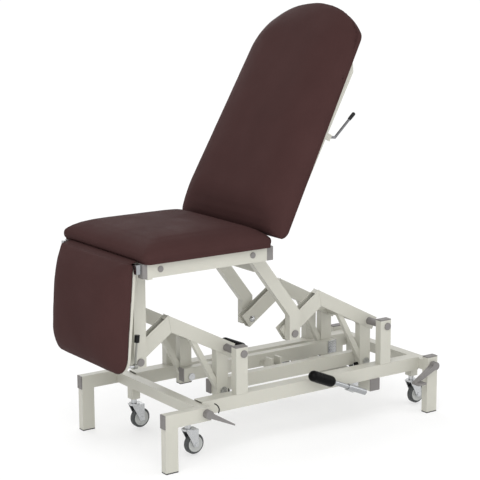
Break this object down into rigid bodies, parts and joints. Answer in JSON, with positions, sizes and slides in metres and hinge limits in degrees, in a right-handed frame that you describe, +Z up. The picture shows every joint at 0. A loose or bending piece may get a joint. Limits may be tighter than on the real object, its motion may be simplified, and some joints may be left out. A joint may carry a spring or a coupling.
{
  "type": "treatment couch",
  "caption": "Height-adjustable treatment couch with padded seat, leaning back and hanging leg section on a tubular base with lifting arms, foot pump and castors.",
  "frame": {"origin": "middle of the couch's bounding box, on the floor", "axes": "+Z up, +X from the leg section towards the back section, +Y away from the pictured side"},
  "size_m": [1.4426, 0.696, 1.5775],
  "materials": {
    "frame_paint": "off-white powder coat",
    "grey_plastic": "grey moulded",
    "zinc": "zinc plated",
    "chrome": "chromed",
    "pump_grey": "grey paint",
    "black_rubber": "matt black",
    "black_plastic": "matt black",
    "tyre_grey": "grey tread",
    "upholstery": "dark brown vinyl with a fine grain",
    "board": "white faced board"
  },
  "bodies": {
    "base": {"foot_legs": "frame_paint", "stub_rails": "frame_paint", "head_legs": "frame_paint", "foot_cross_tube": "frame_paint", "head_cross_tube": "frame_paint", "main_rails": "frame_paint", "posts": "frame_paint", "arm_pivots": "zinc", "pump_cross_tube": "frame_paint", "base_caps": "grey_plastic", "castor_guides": "frame_paint", "pump_unit": "pump_grey", "pump_bearings": "zinc"},
    "front_arm": {"front_arm_beams": "frame_paint", "front_arm_levers": "frame_paint", "front_arm_braces": "frame_paint", "front_arm_buffers": "black_rubber", "front_torque_tube": "frame_paint"},
    "rear_arm": {"rear_arm_beams": "frame_paint", "rear_arm_levers": "frame_paint", "rear_arm_braces": "frame_paint", "rear_arm_buffers": "black_rubber", "rear_torque_tube": "frame_paint"},
    "seat": {"front_hangers": "frame_paint", "rear_hangers": "frame_paint", "hanger_pins": "zinc", "seat_rails": "frame_paint", "seat_cross_tubes": "frame_paint", "seat_caps": "grey_plastic", "back_hinge_ears": "zinc", "leg_hinge_pins": "chrome", "seat_board": "upholstery", "seat_cushion": "upholstery"},
    "links": {"link_bars": "frame_paint", "link_pins": "zinc", "link_caps": "grey_plastic"},
    "ram": {"ram_rod": "chrome"},
    "back": {"back_frame": "frame_paint", "back_board": "upholstery", "back_cushion": "upholstery"},
    "back_release": {"back_lever": "chrome"},
    "leg_rest": {"leg_board": "board", "leg_cushion": "upholstery", "leg_lugs": "zinc"},
    "leg_release": {"leg_lever": "black_plastic"},
    "pump_pedal": {"pump_arms": "chrome", "pump_pads": "black_rubber"},
    "castor_pedal_foot": {"castor_pedal_foot": "grey_plastic"},
    "castor_lift_foot": {"castor_stems_foot": "zinc"},
    "castor_fork_foot_near": {"castor_fork_foot_near": "zinc"},
    "castor_wheel_foot_near": {"castor_wheel_foot_near": "tyre_grey"},
    "castor_fork_foot_far": {"castor_fork_foot_far": "zinc"},
    "castor_wheel_foot_far": {"castor_wheel_foot_far": "tyre_grey"},
    "castor_pedal_head": {"castor_pedal_head": "grey_plastic"},
    "castor_lift_head": {"castor_stems_head": "zinc"},
    "castor_fork_head_near": {"castor_fork_head_near": "zinc"},
    "castor_wheel_head_near": {"castor_wheel_head_near": "tyre_grey"},
    "castor_fork_head_far": {"castor_fork_head_far": "zinc"},
    "castor_wheel_head_far": {"castor_wheel_head_far": "tyre_grey"}
  },
  "joints": [
    {"name": "lift", "type": "hinge", "parent": "base", "child": "front_arm", "pos_m": [-0.19017, 0, 0.359], "axis": [0, 1, 0], "range_deg": [-35, 25]},
    {"name": "rear_lift", "type": "hinge", "parent": "base", "child": "rear_arm", "pos_m": [0.47783, 0, 0.359], "axis": [0, 1, 0], "range_deg": [-35, 25]},
    {"name": "seat_level", "type": "hinge", "parent": "front_arm", "child": "seat", "pos_m": [-0.57017, 0, 0.372], "axis": [0, 1, 0], "range_deg": [-25, 35]},
    {"name": "link_swing", "type": "hinge", "parent": "front_arm", "child": "links", "pos_m": [-0.20217, 0, 0.199], "axis": [0, 1, 0], "range_deg": [-25, 35]},
    {"name": "ram_stroke", "type": "slide", "parent": "base", "child": "ram", "axis": [1, 0, 0], "range_m": [-0.068, 0.095]},
    {"name": "back_recline", "type": "hinge", "parent": "seat", "child": "back", "pos_m": [-0.04717, 0, 0.764], "axis": [0, 1, 0], "range_deg": [0, 62]},
    {"name": "back_release_turn", "type": "hinge", "parent": "back", "child": "back_release", "pos_m": [0.17175, -0.255, 1.10969], "axis": [0, 1, 0], "range_deg": [-12, 0], "stiffness_Nm_per_rad": 1.5, "springref_deg": 17.19},
    {"name": "leg_raise", "type": "hinge", "parent": "seat", "child": "leg_rest", "pos_m": [-0.62717, 0, 0.733], "axis": [0, 1, 0], "range_deg": [0, 85]},
    {"name": "leg_release_turn", "type": "hinge", "parent": "leg_rest", "child": "leg_release", "pos_m": [-0.62398, -0.222, 0.37938], "axis": [0.9962, 0, -0.0872], "range_deg": [0, 10], "stiffness_Nm_per_rad": 1, "springref_deg": -17.19},
    {"name": "pump_stroke", "type": "hinge", "parent": "base", "child": "pump_pedal", "pos_m": [0.32483, 0, 0.14], "axis": [0, 1, 0], "range_deg": [-24, 0], "stiffness_Nm_per_rad": 30, "springref_deg": 22.92},
    {"name": "castor_pedal_foot_press", "type": "hinge", "parent": "base", "child": "castor_pedal_foot", "pos_m": [-0.39017, 0, 0.19], "axis": [0, 1, 0], "range_deg": [0, 18]},
    {"name": "castor_foot_drop", "type": "slide", "parent": "base", "child": "castor_lift_foot", "axis": [0, 0, 1], "range_m": [-0.0085, 0]},
    {"name": "castor_foot_near_swivel", "type": "hinge", "parent": "castor_lift_foot", "child": "castor_fork_foot_near", "pos_m": [-0.39017, -0.185, 0.104], "axis": [0, 0, 1], "continuous": true},
    {"name": "castor_foot_near_roll", "type": "hinge", "parent": "castor_fork_foot_near", "child": "castor_wheel_foot_near", "pos_m": [-0.36517, -0.185, 0.043], "axis": [0, 1, 0], "continuous": true},
    {"name": "castor_foot_far_swivel", "type": "hinge", "parent": "castor_lift_foot", "child": "castor_fork_foot_far", "pos_m": [-0.39017, 0.185, 0.104], "axis": [0, 0, 1], "continuous": true},
    {"name": "castor_foot_far_roll", "type": "hinge", "parent": "castor_fork_foot_far", "child": "castor_wheel_foot_far", "pos_m": [-0.36517, 0.185, 0.043], "axis": [0, 1, 0], "continuous": true},
    {"name": "castor_pedal_head_press", "type": "hinge", "parent": "base", "child": "castor_pedal_head", "pos_m": [0.65883, 0, 0.19], "axis": [0, -1, 0], "range_deg": [0, 18]},
    {"name": "castor_head_drop", "type": "slide", "parent": "base", "child": "castor_lift_head", "axis": [0, 0, 1], "range_m": [-0.0085, 0]},
    {"name": "castor_head_near_swivel", "type": "hinge", "parent": "castor_lift_head", "child": "castor_fork_head_near", "pos_m": [0.65883, -0.185, 0.104], "axis": [0, 0, 1], "continuous": true},
    {"name": "castor_head_near_roll", "type": "hinge", "parent": "castor_fork_head_near", "child": "castor_wheel_head_near", "pos_m": [0.68383, -0.185, 0.043], "axis": [0, 1, 0], "continuous": true},
    {"name": "castor_head_far_swivel", "type": "hinge", "parent": "castor_lift_head", "child": "castor_fork_head_far", "pos_m": [0.65883, 0.185, 0.104], "axis": [0, 0, 1], "continuous": true},
    {"name": "castor_head_far_roll", "type": "hinge", "parent": "castor_fork_head_far", "child": "castor_wheel_head_far", "pos_m": [0.68383, 0.185, 0.043], "axis": [0, 1, 0], "continuous": true}
  ],
  "couplings": [
    {"joint": "rear_lift", "follows": "lift", "ratio": 1},
    {"joint": "seat_level", "follows": "lift", "ratio": -1},
    {"joint": "link_swing", "follows": "lift", "ratio": -1},
    {"joint": "ram_stroke", "follows": "lift", "m_per_rad": -0.155},
    {"joint": "castor_foot_drop", "follows": "castor_pedal_foot_press", "m_per_rad": -0.0258},
    {"joint": "castor_head_drop", "follows": "castor_pedal_head_press", "m_per_rad": -0.0258}
  ]
}
